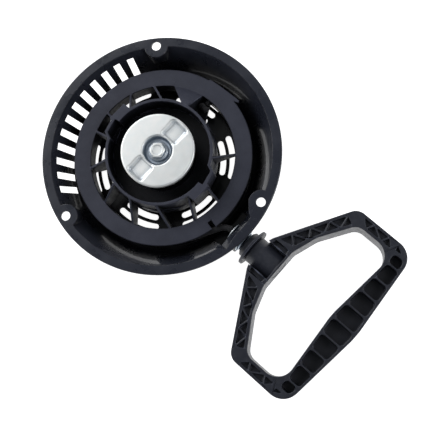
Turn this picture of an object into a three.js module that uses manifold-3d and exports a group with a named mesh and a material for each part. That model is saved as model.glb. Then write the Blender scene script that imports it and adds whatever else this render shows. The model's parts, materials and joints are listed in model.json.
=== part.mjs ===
// Recoil starter: a pressed pan that bolts to an engine's blower housing, a rope reel with a
// ratchet hub that turns on a centre post, and a ribbed pull handle on the rope's end.
// Millimetres. +Z points to the engine along the crank axis. The origin is the centre of the
// pan's back face, so the pan's mounting flange faces up.
import * as THREE from 'three';
import { ConvexGeometry } from 'three/addons/geometries/ConvexGeometry.js';
import { mergeVertices } from 'three/addons/utils/BufferGeometryUtils.js';
import Module from 'manifold-3d';

const wasm = await Module();
wasm.setup();

// ---------------------------------------------------------------- driving dimensions
const GAP = 0.3; // clearance between neighbouring pieces

// Pan
const PAN_HEIGHT = 30;
const SHEET = 1.6;
const FLANGE_R = 86;
const FLANGE_T = 2;
const MOUTH_R = 79.2;
const WALL_TOP_R = 76;
const FLOOR_R = 66.4;
const HOLE_CIRCLE_R = 79.8;
const HOLE_R = 3.3;
const HOLE_ANGLES = [93.3, 213.3, 333.3];
const LOBE_R = 8.6;
const VENT_COUNT = 12;
const VENT_FIRST = 109.1;
const VENT_PITCH = 8.05;
const VENT_WIDTH = 5;
const VENT_Z = [7, 27];
const GRILLE_ROWS = [[41.4, 36], [48.1, 39], [54.8, 39]]; // radius and span in degrees
const GRILLE_SLOT_WIDTH = 4.2;
const GRILLE_FIRST = 4;
const GRILLE_COUNT = 6;

// Rope outlet: the rope leaves along this line, below the flange
const OUTLET_ANGLE = -39.5;
const OUTLET_OFFSET = -9.6;
const ROPE_Z = 17;
const ROPE_D = 4.5;
const BAY_FACE = 75;
const BAY_FACE_TOP = 25;
const BAY_FLOOR = 3;
const BAY_SIDES = [-12.7, 15.8];
const BAY_MOUTH = [[50, 15.8], [76.8, 15.8], [80, -12.7], [71.2, -18.6], [50, -18.6]];
const BEND_X = 67.5;
const BEND_REACH = 6;
const GUIDE_END = 82.6;
const GUIDE_HALF = 10;
const GUIDE_TOP = 7.7;
const EYELET_HOLE_R = 3.1;
const EYELET_R = 4.1;

// Reel
const RIM_Z = 36;
const HUB_R = 36.3;
const HUB_WALL = 2;
const POCKET_R = 39.8;
const BLOCK_R = 43.5;
const BLOCK_BOTTOM = 18.3;
const REEL_FLANGE_R = 64.7;
const REEL_LOWER_FLANGE_R = 60;
const REEL_FLANGE_T = 2;
const DRUM_R = 54;
const DRUM_INNER_R = 52.2;
const REEL_TOP = 21.8;
const REEL_BOTTOM = 9;
const HUB_BOTTOM = 5.2;
const HUB_FLOOR = [15, 17];
const BOSS_R = 12;
const BOSS_BORE_R = 9.6;
const BOSS_TOP = 32.4;
const INNER_WALL_R = 24;
const INNER_WALL_TOP = 35.8;
const RIB_T = 1.6;
// each rib's angle at the hub and at the drum
const RIBS = [
  [87.5, 98], [124.5, 117.5], [144.5, 141], [163, 158], [187, 188.5], [214.5, 219],
  [238, 248], [267.5, 277.5], [304.5, 297], [324.5, 321],
];
const SHALLOW_RIB = [352, 360.3];
const WEB_ANGLES = { hub: [59, 64.5], drum: [57, 82] };
const WEB_BOTTOM = 19.5;
const POCKET_START = [41, 52];
const KNOT_ANGLE = 51.5;
const KNOT_R = 3.9;
const NOTCH_ANGLE = 306;
// the tongue that stands out from the reel's upper flange: its outer edge as [radius, angle]
const TONGUE = [[63, 59], [65.4, 59], [65.3, 53.7], [65.5, 48.4], [66.1, 43], [67, 38.8], [67.7, 35.6],
  [66.3, 34.9], [64, 37.6], [62.5, 38]];
const RATCHET_ANGLES = [142, 322];

// Post, spring and retainer
const POST_R = 8;
const ARBOR_R = 11;
const ARBOR_TOP = 13.2;
const POST_TOP = 33.4;
const BOLT_R = 2.9;
const SPRING_Z = [6.4, 12.6];
const SPRING_STRIP = 0.8;
const SPRING_TURNS = 4.5;
const SPRING_R = [13, 33.2];
const KEEPER_R = 35.9;
const PLATE_Z = 39.5;
const PLATE_R = 26.2;
const PLATE_RIM = 3.4;
const PLATE_T = 1.2;
const WELL_R = 11;
const WELL_FLOOR = 35;
const ARM_HALF = 6.1;
const ARM_FLOOR = 37.5;
const ARM_END = 23.6;
const BOW_TIE_ANGLE = 47;

// Handle, in its own frame: x along the rope, y across, z up from the rope. The rope leaves the
// eyelet a little askew, so this frame is turned from the outlet's about the collar's centre.
const HANDLE_ANGLE = -41;
const COLLAR_X = 90.4;
const COLLAR_R = 13.8;
const BARREL_R = 10;
const BARREL_END = 116;
const HANDLE_T = 23;
const HANDLE_WEB = 3.4;
const HALF_WIDTH = 66.2;
const OPENING_HALF = 57.3;
const GRIP_OUTER_X = 183.9;
const GRIP_INNER_X = 162.9;
const POCKET_PITCH = 12.7;
const END_CELL = [[168.1, 50.8], [178.4, 50.8], [175.8, 58.8], [166.8, 58.8]];
const KNOT_SEAT_X = 103;
const KNOT_ROOM_R = 7;
// pockets in the loop's arms and sides: the lines their triangles zigzag between
const ARM_INNER = [[113.2, 15.6], [120.4, 33.6], [134.4, 55.6]];
const ARM_OUTER = [[102.4, 15.2], [129.6, 61.6]];
const ARM_CELLS = 8;
const SIDE_INNER = [[139.5, 58.7], [165, 58.7]];
const SIDE_OUTER = [[136, 64.8], [162, 64.8]];
const SIDE_CELLS = 4;
const CORNER_CELL = [[166.4, 60], [174.4, 60], [165.6, 64.9]];
const BARREL_CELL = [[100.2, 10], [114.4, 10], [113.4, 14.4], [101.8, 14.4]];
const RIB_HALF = 0.6;
const TRUSS_DEPTH = 3.5;

const rad = THREE.MathUtils.degToRad;
const UP = new THREE.Vector3(0, 0, 1);

// ---------------------------------------------------------------- solids
function signedVolume(position, triangles) {
  let volume = 0;
  const corner = [new THREE.Vector3(), new THREE.Vector3(), new THREE.Vector3()];
  for (let i = 0; i < triangles.length; i += 3) {
    corner.forEach((point, k) => point.fromArray(position, 3 * triangles[i + k]));
    volume += corner[0].dot(corner[1].cross(corner[2])) / 6;
  }
  return volume;
}

// A closed three.js geometry as a solid that can be joined and cut.
function solid(geometry) {
  const bare = geometry.index ? geometry.toNonIndexed() : geometry.clone();
  bare.deleteAttribute('normal');
  bare.deleteAttribute('uv');
  const merged = mergeVertices(bare, 1e-4);
  const position = merged.attributes.position.array;
  const index = merged.index.array;
  const triangles = [];
  for (let i = 0; i < index.length; i += 3) {
    const [a, b, c] = [index[i], index[i + 1], index[i + 2]];
    if (a !== b && b !== c && c !== a) triangles.push(a, b, c);
  }
  if (signedVolume(position, triangles) < 0) triangles.reverse();
  return new wasm.Manifold(new wasm.Mesh({
    numProp: 3,
    vertProperties: new Float32Array(position),
    triVerts: new Uint32Array(triangles),
  }));
}

function geometryOf(body) {
  const mesh = body.getMesh();
  const geometry = new THREE.BufferGeometry();
  const position = new Float32Array(mesh.vertProperties);
  geometry.setAttribute('position', new THREE.BufferAttribute(position, 3));
  geometry.setIndex(new THREE.BufferAttribute(new Uint32Array(mesh.triVerts), 1));
  geometry.computeVertexNormals();
  return geometry;
}

function union(bodies) {
  return bodies.reduce((whole, body) => whole.add(body));
}

// A turned body about Z. The profile is a list of [radius, z]; an open one ends on the axis.
function turned(profile, segments = 64) {
  const points = profile.map(([r, z]) => new THREE.Vector2(r, z));
  if (profile[0][0] > 0) points.push(points[0].clone());
  const geometry = new THREE.LatheGeometry(points, segments);
  geometry.rotateX(Math.PI / 2);
  return solid(geometry);
}

// The same, turned about the local X axis: the profile is a list of [radius, x].
function turnedAlongX(profile, segments = 40) {
  const points = profile.map(([r, x]) => new THREE.Vector2(r, x));
  if (profile[0][0] > 0) points.push(points[0].clone());
  const geometry = new THREE.LatheGeometry(points, segments);
  geometry.rotateZ(-Math.PI / 2);
  return solid(geometry);
}

function tube(innerR, outerR, z0, z1, segments = 64) {
  return turned([[innerR, z0], [outerR, z0], [outerR, z1], [innerR, z1]], segments);
}

function disc(r, z0, z1, x = 0, y = 0, segments = 48) {
  const geometry = new THREE.CylinderGeometry(r, r, z1 - z0, segments);
  geometry.rotateX(Math.PI / 2);
  geometry.translate(x, y, (z0 + z1) / 2);
  return solid(geometry);
}

// A prism between two heights, from a closed outline of [x, y] points or a THREE.Shape.
function prism(outline, z0, z1, curveSegments = 8) {
  const shape = outline instanceof THREE.Shape
    ? outline
    : new THREE.Shape(outline.map(([x, y]) => new THREE.Vector2(x, y)));
  const depth = z1 - z0;
  const geometry = new THREE.ExtrudeGeometry(shape, { depth, bevelEnabled: false, curveSegments });
  geometry.translate(0, 0, z0);
  return solid(geometry);
}

function box(x, y, z) {
  const geometry = new THREE.BoxGeometry(x[1] - x[0], y[1] - y[0], z[1] - z[0]);
  geometry.translate((x[0] + x[1]) / 2, (y[0] + y[1]) / 2, (z[0] + z[1]) / 2);
  return solid(geometry);
}

function polar(r, degrees) {
  return [r * Math.cos(rad(degrees)), r * Math.sin(rad(degrees))];
}

function turnedTo(body, degrees) {
  return body.rotate([0, 0, degrees]);
}

// From the outlet's frame to the part's frame.
function atOutlet(body) {
  return body.translate([0, OUTLET_OFFSET, ROPE_Z]).rotate([0, 0, OUTLET_ANGLE]);
}

// A point on the rope's straight run, from its place along the handle's axis.
function onRope(x) {
  const [dx, dy] = polar(x - COLLAR_X, HANDLE_ANGLE);
  const collar = new THREE.Vector3(COLLAR_X, OUTLET_OFFSET, ROPE_Z).applyAxisAngle(UP, rad(OUTLET_ANGLE));
  return new THREE.Vector3(collar.x + dx, collar.y + dy, ROPE_Z);
}

// ---------------------------------------------------------------- outlines
// A closed outline whose corners [x, y, radius] are rounded.
function roundedShape(corners) {
  const shape = new THREE.Shape();
  corners.forEach(([x, y, r], i) => {
    const here = new THREE.Vector2(x, y);
    const before = new THREE.Vector2(...corners.at(i - 1));
    const after = new THREE.Vector2(...corners[(i + 1) % corners.length]);
    const toBefore = before.sub(here).normalize();
    const toAfter = after.sub(here).normalize();
    const halfAngle = Math.acos(THREE.MathUtils.clamp(toBefore.dot(toAfter), -1, 1)) / 2;
    const reach = r / Math.tan(halfAngle);
    const start = here.clone().addScaledVector(toBefore, reach);
    const end = here.clone().addScaledVector(toAfter, reach);
    if (i === 0) shape.moveTo(start.x, start.y);
    else shape.lineTo(start.x, start.y);
    if (r > 0) shape.quadraticCurveTo(x, y, end.x, end.y);
  });
  shape.closePath();
  return shape;
}

// A convex outline moved inward by a distance, as a list of points.
function inset(points, distance) {
  const centre = points.reduce((sum, [x, y]) => [sum[0] + x, sum[1] + y], [0, 0])
    .map((value) => value / points.length);
  const lines = points.map(([x, y], i) => {
    const [x2, y2] = points[(i + 1) % points.length];
    const normal = new THREE.Vector2(y - y2, x2 - x).normalize();
    const side = Math.sign(normal.dot(new THREE.Vector2(centre[0] - x, centre[1] - y)));
    normal.multiplyScalar(side);
    return { normal, level: normal.x * x + normal.y * y + distance };
  });
  return lines.map((line, i) => {
    const last = lines.at(i - 1);
    const det = last.normal.x * line.normal.y - last.normal.y * line.normal.x;
    return [
      (last.level * line.normal.y - line.level * last.normal.y) / det,
      (last.normal.x * line.level - line.normal.x * last.level) / det,
    ];
  });
}

// ---------------------------------------------------------------- pan
function panOutside() {
  const top = PAN_HEIGHT - FLANGE_T;
  return turned([
    [0, 0], [57.5, 0], [58.5, 1], [61, 1], [62, 0], [FLOOR_R - 1, 0], [FLOOR_R + 1.5, SHEET + 1],
    [WALL_TOP_R + SHEET, top - 1.4], [WALL_TOP_R + SHEET + 1.4, top], [FLANGE_R - 0.3, top],
    [FLANGE_R, top + 0.3], [FLANGE_R, PAN_HEIGHT - 0.6], [FLANGE_R - 0.6, PAN_HEIGHT], [0, PAN_HEIGHT],
  ]);
}

function panInside() {
  return turned([
    [0, SHEET], [57.1, SHEET], [58.1, SHEET + 1], [61.4, SHEET + 1], [62.4, SHEET],
    [FLOOR_R - 1.8, SHEET], [FLOOR_R, 2 * SHEET], [WALL_TOP_R, PAN_HEIGHT - 3.5],
    [WALL_TOP_R + 0.9, PAN_HEIGHT - 1.1], [MOUTH_R, PAN_HEIGHT], [MOUTH_R, PAN_HEIGHT + 1],
    [0, PAN_HEIGHT + 1],
  ]);
}

// The outlet bay: a flat-faced bulge of the wall that gives the rope room to turn. Its face is
// upright behind the eyelet and flares above it to the flange's straight inner edge.
function bay(wall, top) {
  const flangeBottom = PAN_HEIGHT - FLANGE_T;
  const low = BAY_SIDES[0] - wall;
  const high = BAY_SIDES[1] + wall;
  const face = BAY_FACE + wall;
  const mouth = inset(BAY_MOUTH, -wall);
  const lower = box([50, face], [low, high], [BAY_FLOOR + SHEET - wall, BAY_FACE_TOP]);
  const foot = [[50, low], [face, low], [face, high], [50, high]];
  const rings = [
    ...foot.map(([x, y]) => new THREE.Vector3(x, y, BAY_FACE_TOP)),
    ...mouth.map(([x, y]) => new THREE.Vector3(x, y, flangeBottom)),
  ];
  const bulge = lower.add(solid(new ConvexGeometry(rings)));
  const whole = top > flangeBottom ? bulge.add(prism(mouth, flangeBottom, top)) : bulge;
  return whole.translate([0, OUTLET_OFFSET, 0]).rotate([0, 0, OUTLET_ANGLE]);
}

// The wall and flange stay close to the reel between the outlet and the bolt lobe beside it.
function outletShoulder(sheet, z0, z1) {
  const [x, y] = polar(HOLE_CIRCLE_R, HOLE_ANGLES[2]);
  const left = x - LOBE_R + sheet;
  const low = y - 10.8 + sheet;
  return prism([[left, y], [left + 0.4, low + 3.7], [left + 1.5, low], [x, low], [x, y]], z0, z1);
}

function vents() {
  return Array.from({ length: VENT_COUNT }, (_, i) => {
    const cut = box([60, 82], [-VENT_WIDTH / 2, VENT_WIDTH / 2], VENT_Z);
    return turnedTo(cut, VENT_FIRST + i * VENT_PITCH);
  });
}

function grilleSlot([r, span], middle) {
  const half = GRILLE_SLOT_WIDTH / 2;
  const a0 = rad(middle - span / 2) + half / r;
  const a1 = rad(middle + span / 2) - half / r;
  const shape = new THREE.Shape();
  shape.absarc(0, 0, r + half, a0, a1, false);
  shape.absarc(r * Math.cos(a1), r * Math.sin(a1), half, a1, a1 + Math.PI, false);
  shape.absarc(0, 0, r - half, a1, a0, true);
  shape.absarc(r * Math.cos(a0), r * Math.sin(a0), half, a0 + Math.PI, a0 + 2 * Math.PI, false);
  return prism(shape, -1, SHEET + 1, 3);
}

function grille() {
  const pitch = 360 / GRILLE_COUNT;
  const middles = Array.from({ length: GRILLE_COUNT }, (_, i) => GRILLE_FIRST + pitch * i);
  return GRILLE_ROWS.flatMap((row) => middles.map((middle) => grilleSlot(row, middle)));
}

function housing() {
  const lobes = HOLE_ANGLES.map((angle) => polar(HOLE_CIRCLE_R, angle));
  const flangeBottom = PAN_HEIGHT - FLANGE_T;
  const shoulder = outletShoulder(0, 0, PAN_HEIGHT + 2);
  let outside = panOutside().subtract(outletShoulder(SHEET, -1, flangeBottom));
  outside = outside.add(bay(SHEET, flangeBottom));
  let inside = panInside().subtract(shoulder).add(bay(0, PAN_HEIGHT + 1));
  lobes.forEach(([x, y]) => {
    outside = outside.subtract(disc(LOBE_R - SHEET, -1, flangeBottom, x, y, 28));
    inside = inside.subtract(disc(LOBE_R, -1, PAN_HEIGHT + 2, x, y, 28));
  });
  const holes = lobes.map(([x, y]) => disc(HOLE_R, flangeBottom - 1, PAN_HEIGHT + 1, x, y, 20));
  const ropeHole = atOutlet(turnedAlongX([[0, 70], [EYELET_R + GAP, 70], [EYELET_R + GAP, 82], [0, 82]], 20));
  return outside.subtract(inside).subtract(union([...holes, ...vents(), ...grille(), ropeHole]));
}

// ---------------------------------------------------------------- outlet pieces (outlet frame)
function ropeGuide() {
  const h = GUIDE_HALF;
  const outline = roundedShape([[-GUIDE_TOP, -h, 3], [h, -h, 3], [h, h, 3], [-GUIDE_TOP, h, 3]]);
  const start = BAY_FACE + SHEET + GAP;
  const block = prism(outline, start, GUIDE_END, 4).rotate([0, 90, 0]);
  const bore = turnedAlongX([[0, 70], [EYELET_R + GAP, 70], [EYELET_R + GAP, 90], [0, 90]], 24);
  return block.subtract(bore);
}

function eyelet() {
  const inner = BAY_FACE - GAP;
  const outer = GUIDE_END + 2 * GAP + 0.8;
  return turnedAlongX([
    [EYELET_HOLE_R + 0.8, inner - 1.2], [6.7, inner - 0.9], [6.7, inner], [EYELET_R, inner],
    [EYELET_R, outer], [7.2, outer], [7.2, outer + 0.9], [EYELET_HOLE_R + 0.8, outer + 1.5],
    [EYELET_HOLE_R, outer + 0.6], [EYELET_HOLE_R, inner - 0.3],
  ], 28);
}

function eyeletWasher() {
  const start = GUIDE_END + GAP;
  const bore = EYELET_R + GAP;
  return turnedAlongX([[bore, start], [8.8, start], [8.8, start + 0.8], [bore, start + 0.8]], 28);
}

// ---------------------------------------------------------------- post, spring, keeper
function centrePost() {
  const body = turned([
    [0, SHEET + GAP], [16, SHEET + GAP], [16, 3.2], [ARBOR_R, 3.8], [ARBOR_R, ARBOR_TOP],
    [POST_R, ARBOR_TOP], [POST_R, POST_TOP - 0.8], [POST_R - 0.8, POST_TOP], [0, POST_TOP],
  ], 32);
  const thread = disc(BOLT_R + GAP, POST_TOP - 20, POST_TOP + 1, 0, 0, 20);
  const springSlot = box([6.5, ARBOR_R + 2], [-0.8, 0.8], [5.5, ARBOR_TOP + 1]);
  return body.subtract(thread).subtract(springSlot);
}

// The spring strip: a hook in the arbor's slot, then a spiral out to the keeper's wall.
function recoilSpring() {
  const half = SPRING_STRIP / 2;
  const steps = Math.round(SPRING_TURNS * 22);
  const [r0, r1] = SPRING_R;
  const spiral = (side) => Array.from({ length: steps + 1 }, (_, i) => {
    const t = i / steps;
    return polar(r0 + (r1 - r0) * t ** 0.85 + side * half, 14 + 360 * SPRING_TURNS * t);
  });
  const hookStart = 7.2;
  const hook = [[hookStart, half], [hookStart, -half], [r0 - 1, -half]];
  return prism([...hook, ...spiral(1), ...spiral(-1).reverse(), [r0 - 2, half]], SPRING_Z[0], SPRING_Z[1]);
}

function springKeeper() {
  const wall = 1;
  const [bottom, top] = [5.8, HUB_FLOOR[0] - GAP];
  return turned([
    [ARBOR_R + 2, top - wall], [KEEPER_R - wall, top - wall], [KEEPER_R - wall, bottom],
    [KEEPER_R, bottom], [KEEPER_R, top], [ARBOR_R + 2, top],
  ], 48);
}

// ---------------------------------------------------------------- reel
// The hub's wall seen along the axis, with a block and a drive pocket at each ratchet angle.
function hubOutline(inner) {
  const points = [];
  const [wall, pocketWall] = [HUB_R + HUB_WALL, POCKET_R + HUB_WALL];
  const edge = inner
    ? [[-14, HUB_R], [0, HUB_R], [0.6, POCKET_R], [16, POCKET_R], [21, HUB_R]]
    : [[-18, wall], [-16, BLOCK_R], [2.6, BLOCK_R], [4, pocketWall], [16.5, pocketWall], [22, wall]];
  const [lastAngle, lastR] = edge.at(-1);
  const plain = 180 + edge[0][0] - lastAngle;
  const steps = 20;
  RATCHET_ANGLES.forEach((start) => {
    edge.forEach(([angle, r]) => points.push(polar(r, start + angle)));
    for (let i = 1; i < steps; i += 1) points.push(polar(lastR, start + lastAngle + (plain * i) / steps));
  });
  return points;
}

function rib([hubAngle, drumAngle], bottom = REEL_BOTTOM + 1) {
  const [x0, y0] = polar(HUB_R + HUB_WALL / 2, hubAngle);
  const [x1, y1] = polar(DRUM_INNER_R + 1, drumAngle);
  const length = Math.hypot(x1 - x0, y1 - y0);
  const side = [[0, bottom], [length, bottom], [length, REEL_TOP - 0.4], [0, RIM_Z - 0.8]];
  const plate = prism(side, -RIB_T / 2, RIB_T / 2).rotate([90, 0, 0]);
  const direction = THREE.MathUtils.radToDeg(Math.atan2(y1 - y0, x1 - x0));
  return plate.rotate([0, 0, direction]).translate([x0, y0, 0]);
}

// The sector between the hub and the drum that has these angles along its two sides.
function sector(low, high) {
  const radii = [HUB_R + 1, DRUM_INNER_R + 1];
  return [
    polar(radii[0], low[0]), polar(radii[1], low[1]), polar(radii[1], (low[1] + high[1]) / 2),
    polar(radii[1], high[1]), polar(radii[0], high[0]),
  ];
}

// The sloping web beside the rope's knot: a wedge from the drum up to the hub's rim.
function knotWeb() {
  const slope = turned([
    [0, WEB_BOTTOM - 1], [DRUM_INNER_R + 3, WEB_BOTTOM - 1], [DRUM_INNER_R + 3, REEL_TOP],
    [DRUM_INNER_R, REEL_TOP], [HUB_R + HUB_WALL, RIM_Z - 0.8], [0, RIM_Z - 0.8],
  ]);
  const { hub, drum: atDrum } = WEB_ANGLES;
  return prism(sector([hub[0], atDrum[0]], [hub[1], atDrum[1]]), WEB_BOTTOM, RIM_Z).intersect(slope);
}

// The pocket the rope's knot sits in: a floor and the wall beside the web.
function knotPocket() {
  const side = [WEB_ANGLES.hub[0], WEB_ANGLES.drum[0]];
  const floor = prism(sector(POCKET_START, side), REEL_BOTTOM, REEL_BOTTOM + 1.6);
  return floor.add(rib(side.map((angle) => angle + 0.8)));
}

function drum() {
  const body = turned([
    [DRUM_INNER_R, REEL_BOTTOM], [REEL_LOWER_FLANGE_R, REEL_BOTTOM],
    [REEL_LOWER_FLANGE_R, REEL_BOTTOM + REEL_FLANGE_T], [DRUM_R, REEL_BOTTOM + REEL_FLANGE_T],
    [DRUM_R, REEL_TOP - REEL_FLANGE_T], [REEL_FLANGE_R, REEL_TOP - REEL_FLANGE_T],
    [REEL_FLANGE_R, REEL_TOP], [DRUM_INNER_R, REEL_TOP],
  ]);
  const notchBox = box([REEL_FLANGE_R - 6, REEL_FLANGE_R + 5], [-1.5, 1.5], [REEL_TOP - 4, REEL_TOP + 1]);
  const notch = turnedTo(notchBox, NOTCH_ANGLE);
  const tongue = prism(TONGUE.map(([r, angle]) => polar(r, angle)), REEL_TOP - REEL_FLANGE_T, REEL_TOP);
  return body.subtract(notch).add(tongue);
}

function reel() {
  const hub = union([
    prism(hubOutline(false), BLOCK_BOTTOM, RIM_Z),
    disc(HUB_R + HUB_WALL, HUB_BOTTOM, BLOCK_BOTTOM + 1),
  ]);
  const cup = prism(hubOutline(true), BLOCK_BOTTOM + 1.6, RIM_Z + 1).add(disc(HUB_R, HUB_FLOOR[1], RIM_Z));
  const springRoom = disc(HUB_R, HUB_BOTTOM - 1, HUB_FLOOR[0]);
  const boss = tube(BOSS_BORE_R, BOSS_R, HUB_FLOOR[0], BOSS_TOP, 32);
  const innerWall = tube(INNER_WALL_R - 2, INNER_WALL_R, HUB_FLOOR[0], INNER_WALL_TOP, 40);
  const bossRibs = [0, 60, 120].map((angle) => turnedTo(
    box([-INNER_WALL_R + 1, INNER_WALL_R - 1], [-1, 1], [HUB_FLOOR[0], BOSS_TOP - 3]), angle));
  const ribs = [...RIBS.map((ends) => rib(ends)), rib(SHALLOW_RIB, WEB_BOTTOM)];
  const bore = disc(BOSS_BORE_R, 0, RIM_Z + 1, 0, 0, 32);
  const holeHalf = ROPE_D / 2 + 0.45;
  const holeZ = [ROPE_Z - holeHalf, ROPE_Z + holeHalf];
  const holeBox = box([DRUM_INNER_R - 3, DRUM_R + 3], [-holeHalf, holeHalf], holeZ);
  const ropeHole = turnedTo(holeBox, KNOT_ANGLE);
  const spokes = union([...ribs, knotPocket(), knotWeb()]).subtract(disc(HUB_R + 1, 0, RIM_Z + 1));
  return union([hub, spokes]).subtract(cup).subtract(springRoom)
    .add(union([boss, innerWall, ...bossRibs, drum()])).subtract(bore).subtract(ropeHole);
}

function reelBush() {
  return tube(POST_R + GAP, BOSS_BORE_R - GAP, HUB_FLOOR[0] + 0.2, BOSS_TOP - 0.2, 32);
}

function washer(z) {
  return tube(POST_R + GAP + 0.1, BOSS_R + 0.6, z, z + 0.8, 32);
}

// ---------------------------------------------------------------- retainer plate and bolt
// A pressed disc with a dished bow-tie: a well for the bolt and an arm on each side of it.
function retainerPlate() {
  const skin = PLATE_T;
  const arm = (grow, end) => {
    const half = ARM_HALF + grow;
    return roundedShape([[-end, -half, 2], [end, -half, 2], [end, half, 2], [-end, half, 2]]);
  };
  const armOutside = prism(arm(skin, ARM_END + skin), ARM_FLOOR - skin, PLATE_Z, 3);
  const armInside = prism(arm(0, ARM_END), ARM_FLOOR, PLATE_Z + 1, 3);
  const wellOutside = turned([
    [0, WELL_FLOOR - skin], [WELL_R - 1.4, WELL_FLOOR - skin], [WELL_R + skin, PLATE_Z - skin],
    [WELL_R + skin, PLATE_Z], [0, PLATE_Z],
  ], 36);
  const wellInside = turned([
    [0, WELL_FLOOR], [WELL_R - 2.2, WELL_FLOOR], [WELL_R, PLATE_Z], [WELL_R, PLATE_Z + 1], [0, PLATE_Z + 1],
  ], 36);
  const face = tube(0.5, PLATE_R, PLATE_Z - skin, PLATE_Z, 60);
  const rim = tube(PLATE_R - skin, PLATE_R, PLATE_Z - PLATE_RIM, PLATE_Z, 60);
  const plate = union([face, rim, armOutside, wellOutside]);
  const cut = union([armInside, wellInside, disc(BOLT_R + GAP, 30, PLATE_Z, 0, 0, 20)]);
  return turnedTo(plate.subtract(cut), BOW_TIE_ANGLE);
}

// M6 hexagon flange bolt
function centreBolt() {
  const seat = WELL_FLOOR + GAP;
  const flange = turned([[0, seat], [7.1, seat], [7.1, seat + 0.9], [5.6, seat + 1.7], [0, seat + 1.7]], 28);
  const across = 10;
  const hexagon = new THREE.CylinderGeometry(across / Math.sqrt(3), across / Math.sqrt(3), 4.6, 6);
  hexagon.rotateX(Math.PI / 2);
  hexagon.translate(0, 0, seat + 2.5);
  const chamfer = turned([[0, seat], [5.9, seat], [5.9, seat + 4], [4.7, seat + 4.8], [0, seat + 4.8]], 28);
  const shank = turned([
    [0, POST_TOP - 16], [BOLT_R - 0.8, POST_TOP - 16], [BOLT_R, POST_TOP - 15], [BOLT_R, seat + 1],
    [0, seat + 1],
  ], 20);
  return union([flange, solid(hexagon).intersect(chamfer), shank]);
}

// ---------------------------------------------------------------- rope
const ROPE_WOUND_R = [DRUM_R + GAP, 59.5];
const LEAD_R = 62.05;

function ropeCoil() {
  const [z0, z1] = [REEL_BOTTOM + REEL_FLANGE_T + GAP, REEL_TOP - REEL_FLANGE_T - GAP];
  return turned([
    [ROPE_WOUND_R[0], z0], [ROPE_WOUND_R[1] - 1, z0], [ROPE_WOUND_R[1], z0 + 1.4],
    [ROPE_WOUND_R[1], z1 - 1.4], [ROPE_WOUND_R[1] - 1, z1], [ROPE_WOUND_R[0], z1],
  ], 48);
}

// The rope's free run: off the reel on a tangent, round the outlet's bend, and out to the knot.
function leadPath() {
  const bend = onRope(BEND_X);
  const tangentAngle = Math.atan2(bend.y, bend.x) - Math.acos(LEAD_R / Math.hypot(bend.x, bend.y));
  const start = new THREE.Vector3(LEAD_R, 0, ROPE_Z).applyAxisAngle(UP, tangentAngle);
  const back = start.clone().sub(bend).normalize();
  const path = new THREE.CurvePath();
  const bendStart = bend.clone().addScaledVector(back, BEND_REACH);
  const bendEnd = onRope(BEND_X + BEND_REACH);
  path.add(new THREE.LineCurve3(start, bendStart));
  path.add(new THREE.QuadraticBezierCurve3(bendStart, bend, bendEnd));
  path.add(new THREE.LineCurve3(bendEnd, onRope(KNOT_SEAT_X + 1.4)));
  return path;
}

function ropeLead() {
  const sides = 10;
  const section = new THREE.Shape(Array.from({ length: sides }, (_, i) =>
    new THREE.Vector2(ROPE_D / 2, 0).rotateAround(new THREE.Vector2(), (2 * Math.PI * i) / sides)));
  const extrudePath = leadPath();
  const geometry = new THREE.ExtrudeGeometry(section, { steps: 26, bevelEnabled: false, extrudePath });
  return solid(geometry);
}

function ball(r, x, stretch = 1) {
  const geometry = new THREE.SphereGeometry(r, 14, 8);
  geometry.scale(stretch, 1, 1);
  geometry.translate(x, 0, 0);
  return solid(geometry);
}

function reelKnot() {
  const middle = 46.4;
  const tailR = ROPE_D / 2 - 0.1;
  const tail = turnedAlongX([[0, middle], [tailR, middle], [tailR, DRUM_R], [0, DRUM_R]], 12);
  return turnedTo(ball(KNOT_R, middle, 0.9).add(tail).translate([0, 0, ROPE_Z]), KNOT_ANGLE);
}

// ---------------------------------------------------------------- handle (its own frame)
function handleCollar() {
  const bore = ROPE_D / 2 + 0.7;
  const nose = COLLAR_X - 4.4;
  return turnedAlongX([
    [bore, nose], [7.6, nose], [9.6, nose + 1.4], [9.6, COLLAR_X], [COLLAR_R, COLLAR_X],
    [COLLAR_R, COLLAR_X + 2.2], [7.2, COLLAR_X + 2.2], [7.2, COLLAR_X + 5], [bore, COLLAR_X + 5],
  ], 36);
}

function mirrored(half) {
  return [...half, ...half.map(([x, y, r]) => [x, -y, r]).reverse()];
}

function gripOuterX(y) {
  return GRIP_OUTER_X - 0.088 * Math.abs(y);
}

function gripInnerX(y) {
  return GRIP_INNER_X + 0.083 * Math.abs(y);
}

function handleOutline() {
  return roundedShape(mirrored([
    [97.5, 8, 0], [99.5, 13.6, 1.5], [130.4, HALF_WIDTH, 9], [gripOuterX(HALF_WIDTH), HALF_WIDTH, 13],
    [GRIP_OUTER_X, 4, 3],
  ]));
}

function handOpening() {
  return roundedShape(mirrored([
    [BARREL_END, 15, 12], [122, 33, 12], [137.6, OPENING_HALF, 9],
    [gripInnerX(OPENING_HALF), OPENING_HALF, 12], [GRIP_INNER_X, 3, 3],
  ]).reverse());
}

function gripCells() {
  const cells = [];
  for (let k = -4; k < 4; k += 1) {
    const [y0, y1] = [k * POCKET_PITCH, (k + 1) * POCKET_PITCH];
    cells.push([
      [gripInnerX(y0) + 1, y0], [gripOuterX(y0) - 1, y0], [gripOuterX(y1) - 1, y1], [gripInnerX(y1) + 1, y1],
    ]);
  }
  return [...cells, END_CELL, END_CELL.map(([x, y]) => [x, -y])];
}

// A point part of the way along an open line of points.
function along(line, t) {
  const path = new THREE.CurvePath();
  line.slice(1).forEach((point, i) => {
    path.add(new THREE.LineCurve(new THREE.Vector2(...line[i]), new THREE.Vector2(...point)));
  });
  return path.getPoint(THREE.MathUtils.clamp(t, 0, 1)).toArray();
}

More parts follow.
